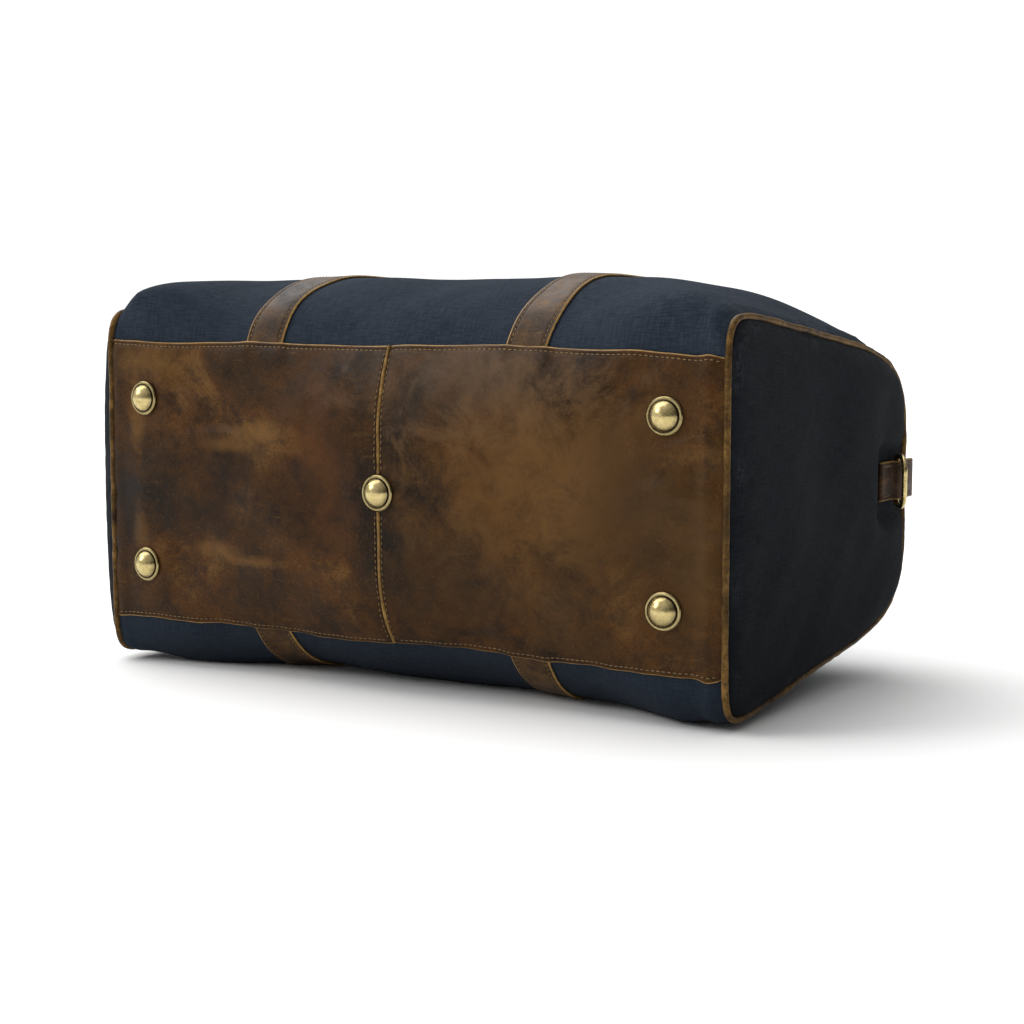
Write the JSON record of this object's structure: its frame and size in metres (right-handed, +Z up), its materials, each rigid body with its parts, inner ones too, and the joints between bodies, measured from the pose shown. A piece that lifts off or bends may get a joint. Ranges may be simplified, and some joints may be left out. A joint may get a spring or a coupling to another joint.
{
  "type": "weekender bag",
  "caption": "Soft canvas weekender bag lying on its back panel, with a leather base on feet, leather straps, handles on rings, a top zip and end rings for a shoulder strap.",
  "frame": {"origin": "middle of the flat patch of back panel that rests on the floor", "axes": "+X along the bag from its left end to its right end, +Y from the base with its feet to the zip, which is the bag's own up, +Z up from the floor to the front panel"},
  "size_m": [0.5642, 0.4627, 0.2964],
  "materials": {
    "canvas": "navy plain-weave waxed canvas, matt",
    "gusset_canvas": "navy plain-weave waxed canvas, matt",
    "end_canvas": "navy plain-weave waxed canvas, matt",
    "lining_cotton": "plain cotton lining",
    "base_leather": "distressed waxed brown leather",
    "strap_leather": "distressed waxed brown leather, raw edges",
    "handle_leather": "rolled distressed brown leather",
    "piping_leather": "tan piping leather",
    "welt_leather": "tan raw-edged leather",
    "tab_leather": "brown leather with tan edges",
    "zip_tape": "woven zip tape",
    "antique_brass": "aged brass, satin",
    "board": "stiff base board"
  },
  "bodies": {
    "bag": {"front_panel": "canvas", "back_panel": "canvas", "end_panel_left": "end_canvas", "piping_left": "piping_leather", "base_leather_left": "base_leather", "dee_tab_left": "tab_leather", "zip_end_tab_left": "tab_leather", "zip_tape_end_left": "zip_tape", "zip_chain_end_left": "antique_brass", "end_panel_right": "end_canvas", "piping_right": "piping_leather", "base_leather_right": "base_leather", "dee_tab_right": "tab_leather", "zip_end_tab_right": "tab_leather", "zip_tape_end_right": "zip_tape", "zip_chain_end_right": "antique_brass", "lining": "lining_cotton", "base_board": "board", "base_seam_welt": "welt_leather", "foot_1": "antique_brass", "foot_2": "antique_brass", "foot_3": "antique_brass", "foot_4": "antique_brass", "foot_5": "antique_brass", "foot_washers": "antique_brass", "strap_front_left": "strap_leather", "strap_front_right": "strap_leather", "strap_back_left": "strap_leather", "strap_back_right": "strap_leather"},
    "gusset_front": {"top_gusset_front": "gusset_canvas", "zip_tape_front": "zip_tape", "zip_chain_front": "antique_brass"},
    "gusset_back": {"top_gusset_back": "gusset_canvas", "zip_tape_back": "zip_tape", "zip_chain_back": "antique_brass"},
    "rings_front": {"ring_front_left": "antique_brass", "ring_front_right": "antique_brass"},
    "handle_front": {"handle_tab_front_left": "handle_leather", "handle_tab_front_right": "handle_leather", "handle_grip_front": "handle_leather", "handle_rivets_front": "antique_brass"},
    "rings_back": {"ring_back_left": "antique_brass", "ring_back_right": "antique_brass"},
    "handle_back": {"handle_tab_back_left": "handle_leather", "handle_tab_back_right": "handle_leather", "handle_grip_back": "handle_leather", "handle_rivets_back": "antique_brass"},
    "dee_left": {"dee_ring_left": "antique_brass"},
    "dee_right": {"dee_ring_right": "antique_brass"},
    "slider": {"zip_slider": "antique_brass"},
    "pull": {"zip_pull": "antique_brass", "zip_puller_leather": "tab_leather"}
  },
  "joints": [
    {"name": "gusset_front_open", "type": "hinge", "parent": "bag", "child": "gusset_front", "pos_m": [0, 0.1872, 0.1887], "axis": [1, 0, 0], "range_deg": [0, 85]},
    {"name": "gusset_back_open", "type": "hinge", "parent": "bag", "child": "gusset_back", "pos_m": [0, 0.1872, 0.0933], "axis": [-1, 0, 0], "range_deg": [0, 85]},
    {"name": "rings_front_swing", "type": "hinge", "parent": "bag", "child": "rings_front", "pos_m": [0, 0.12307, 0.27124], "axis": [1, 0, 0], "range_deg": [0, 150]},
    {"name": "handle_front_swing", "type": "hinge", "parent": "rings_front", "child": "handle_front", "pos_m": [0, 0.14426, 0.25997], "axis": [1, 0, 0], "range_deg": [0, 30]},
    {"name": "rings_back_swing", "type": "hinge", "parent": "bag", "child": "rings_back", "pos_m": [0, 0.12296, 0.01259], "axis": [1, 0, 0], "range_deg": [0, 15]},
    {"name": "handle_back_swing", "type": "hinge", "parent": "rings_back", "child": "handle_back", "pos_m": [0, 0.14696, 0.01213], "axis": [1, 0, 0], "range_deg": [0, 10]},
    {"name": "dee_left_swing", "type": "hinge", "parent": "bag", "child": "dee_left", "pos_m": [-0.2662, 0.163, 0.143], "axis": [0, 0, 1], "range_deg": [-130, 20]},
    {"name": "dee_right_swing", "type": "hinge", "parent": "bag", "child": "dee_right", "pos_m": [0.2662, 0.163, 0.143], "axis": [0, 0, 1], "range_deg": [-20, 130]},
    {"name": "zip_slide", "type": "slide", "parent": "bag", "child": "slider", "axis": [-1, 0, 0], "range_m": [0, 0.474]},
    {"name": "zip_pull_swing", "type": "hinge", "parent": "slider", "child": "pull", "pos_m": [0.237, 0.1915, 0.141], "axis": [0, 0, -1], "range_deg": [-90, 30]}
  ]
}
